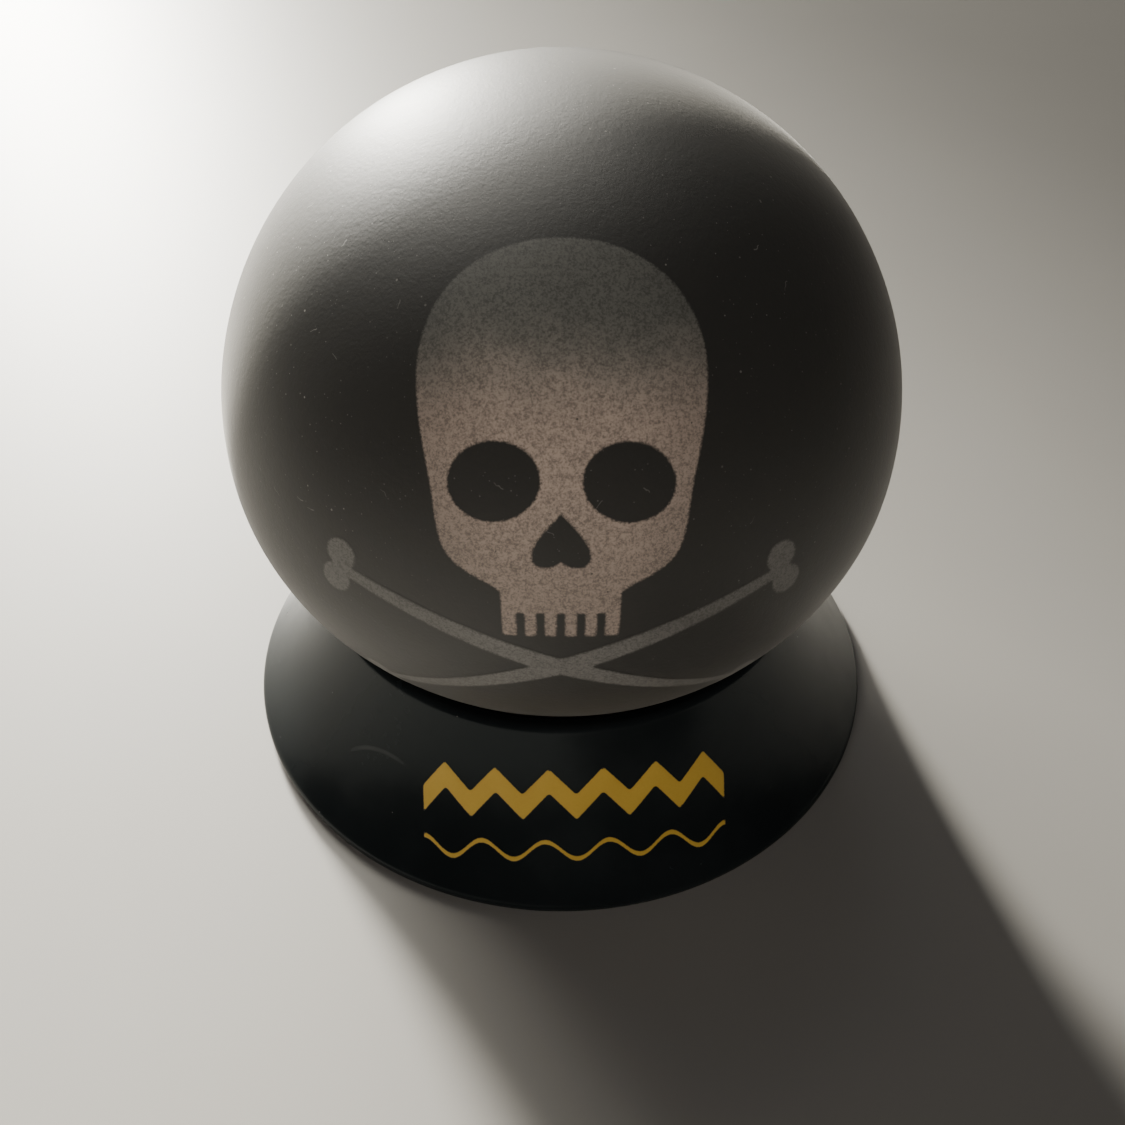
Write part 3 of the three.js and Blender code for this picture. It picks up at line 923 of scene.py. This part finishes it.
def bones_outline():
    """All four arms in turn, each with its two knobs, and the crotches between them."""
    upper = arc(Vector((BONE_LENGTH, KNOB_OFFSET)), KNOB_RADIUS, KNOB_FROM, KNOB_TO, 24)
    lower = [Vector((point.x, -point.y)) for point in upper]
    side = BONE_HALF_WIDTH / math.sin(BONE_TILT)
    top = BONE_HALF_WIDTH / math.cos(BONE_TILT)
    arms = [BONE_TILT, math.pi - BONE_TILT, math.pi + BONE_TILT, -BONE_TILT]
    crotches = [(0, top), (-side, 0), (0, -top), (side, 0)]
    points = []
    for angle, crotch in zip(arms, crotches):
        turn = Matrix.Rotation(angle, 2)
        points += [turn @ point for point in lower + upper[::-1]] + [Vector(crotch)]
    return [point + Vector((0, BONES_MIDDLE)) for point in points]


bones = film("crossbones_spray", [bones_outline()], *paint_laid)
faint_grey = sprayed(
    "faint_grey_spray", cover_low=0.42, cover_high=0.42, warm=FAINT_GREY, cool=FAINT_GREY,
    thin_above=30.0, full_below=29.0, softness=0.40,
)
ball_piece(bones, "crossbones_paint", faint_grey)

# ---------------------------------------------------------------- floor and light
# A plain pale desk top. Low warm sun comes from behind on the left, with two softer patches of
# window above it, and the room gives a little light from the front.

FLOOR_SIZE = 6000
BALL_MIDDLE = Vector((0, 0, WIDEST))
SUN_FROM = (-26.3, 14.6)  # degrees to the left of straight behind, and above level
SUN_AWAY = 1400
SUN_AIM = Vector((-120, 60, 20))
SUN_CONE = 14
SUN_RADIUS = 140
SUN_WATTS = 960
WINDOW_FROM = (-34, 31)
WINDOW_AWAY = 600
WINDOW_SIZE = (260, 260)
WINDOW_WATTS = 3.8
TOP_FROM = (-26, 50)
TOP_SIZE = (460, 380)
TOP_WATTS = 5
ROOM_FROM = (184, 12)
ROOM_AWAY = 600
ROOM_SIZE = (500, 240)
ROOM_WATTS = 1.4
WARM_WHITE = (1.0, 0.968, 0.880)
ROOM_COLOUR = (1.0, 0.93, 0.86)
AIR_COLOUR = (0.75, 0.78, 0.80, 1)
AIR_STRENGTH = 0.03
FLOOR_COLOUR = (0.32, 0.308, 0.288, 1)
FLOOR_PALE = (0.35, 0.337, 0.315, 1)


def pale_floor():
    finish = Finish("pale_floor", IOR=1.35, Roughness=0.5)
    place = finish.place()
    cloud = finish.mottle(place, 60, 3)
    finish.feed(Base_Color=finish.blend(cloud, FLOOR_COLOUR, FLOOR_PALE))
    return finish.material


half = FLOOR_SIZE / 2
floor = make_piece(
    "floor", [(-half, -half, 0), (half, -half, 0), (half, half, 0), (-half, half, 0)], [(0, 1, 2, 3)]
)
floor.data.materials.append(pale_floor())


def lamp(name, kind, watts, colour, seen_from, away, aimed_at):
    """A light that stands in a direction from the ball, given as two angles, and isn't itself seen."""
    light = bpy.data.lights.new(name, kind)
    light.energy = watts
    light.color = colour
    around, above = (math.radians(angle) for angle in seen_from)
    level = math.cos(above)
    toward = Vector((math.sin(around) * level, math.cos(around) * level, math.sin(above)))
    place = BALL_MIDDLE + away * toward
    made = bpy.data.objects.new(name, light)
    turn = (aimed_at - place).to_track_quat("-Z", "Y").to_matrix().to_4x4()
    made.matrix_world = Matrix.Translation(place * MM) @ turn
    made.visible_camera = False
    bpy.context.scene.collection.objects.link(made)
    return made


def soft_lamp(name, size, *facts):
    """A rectangular soft light that faces the ball."""
    made = lamp(name, "AREA", *facts, BALL_MIDDLE)
    made.data.shape = "RECTANGLE"
    made.data.size, made.data.size_y = (side * MM for side in size)
    return made


sun = lamp("window_low", "SPOT", SUN_WATTS, WARM_WHITE, SUN_FROM, SUN_AWAY, SUN_AIM)
sun.data.spot_size = math.radians(SUN_CONE)
sun.data.spot_blend = 1
sun.data.shadow_soft_size = SUN_RADIUS * MM
soft_lamp("window_high", WINDOW_SIZE, WINDOW_WATTS, WARM_WHITE, WINDOW_FROM, WINDOW_AWAY)
top = soft_lamp("window_top", TOP_SIZE, TOP_WATTS, WARM_WHITE, TOP_FROM, WINDOW_AWAY)
top.visible_diffuse = False
room = soft_lamp("room", ROOM_SIZE, ROOM_WATTS, ROOM_COLOUR, ROOM_FROM, ROOM_AWAY)
room.visible_glossy = False

world = bpy.data.worlds.new("room_air")
bpy.context.scene.world = world
world.use_nodes = True
world.node_tree.nodes["Background"].inputs["Color"].default_value = AIR_COLOUR
world.node_tree.nodes["Background"].inputs["Strength"].default_value = AIR_STRENGTH
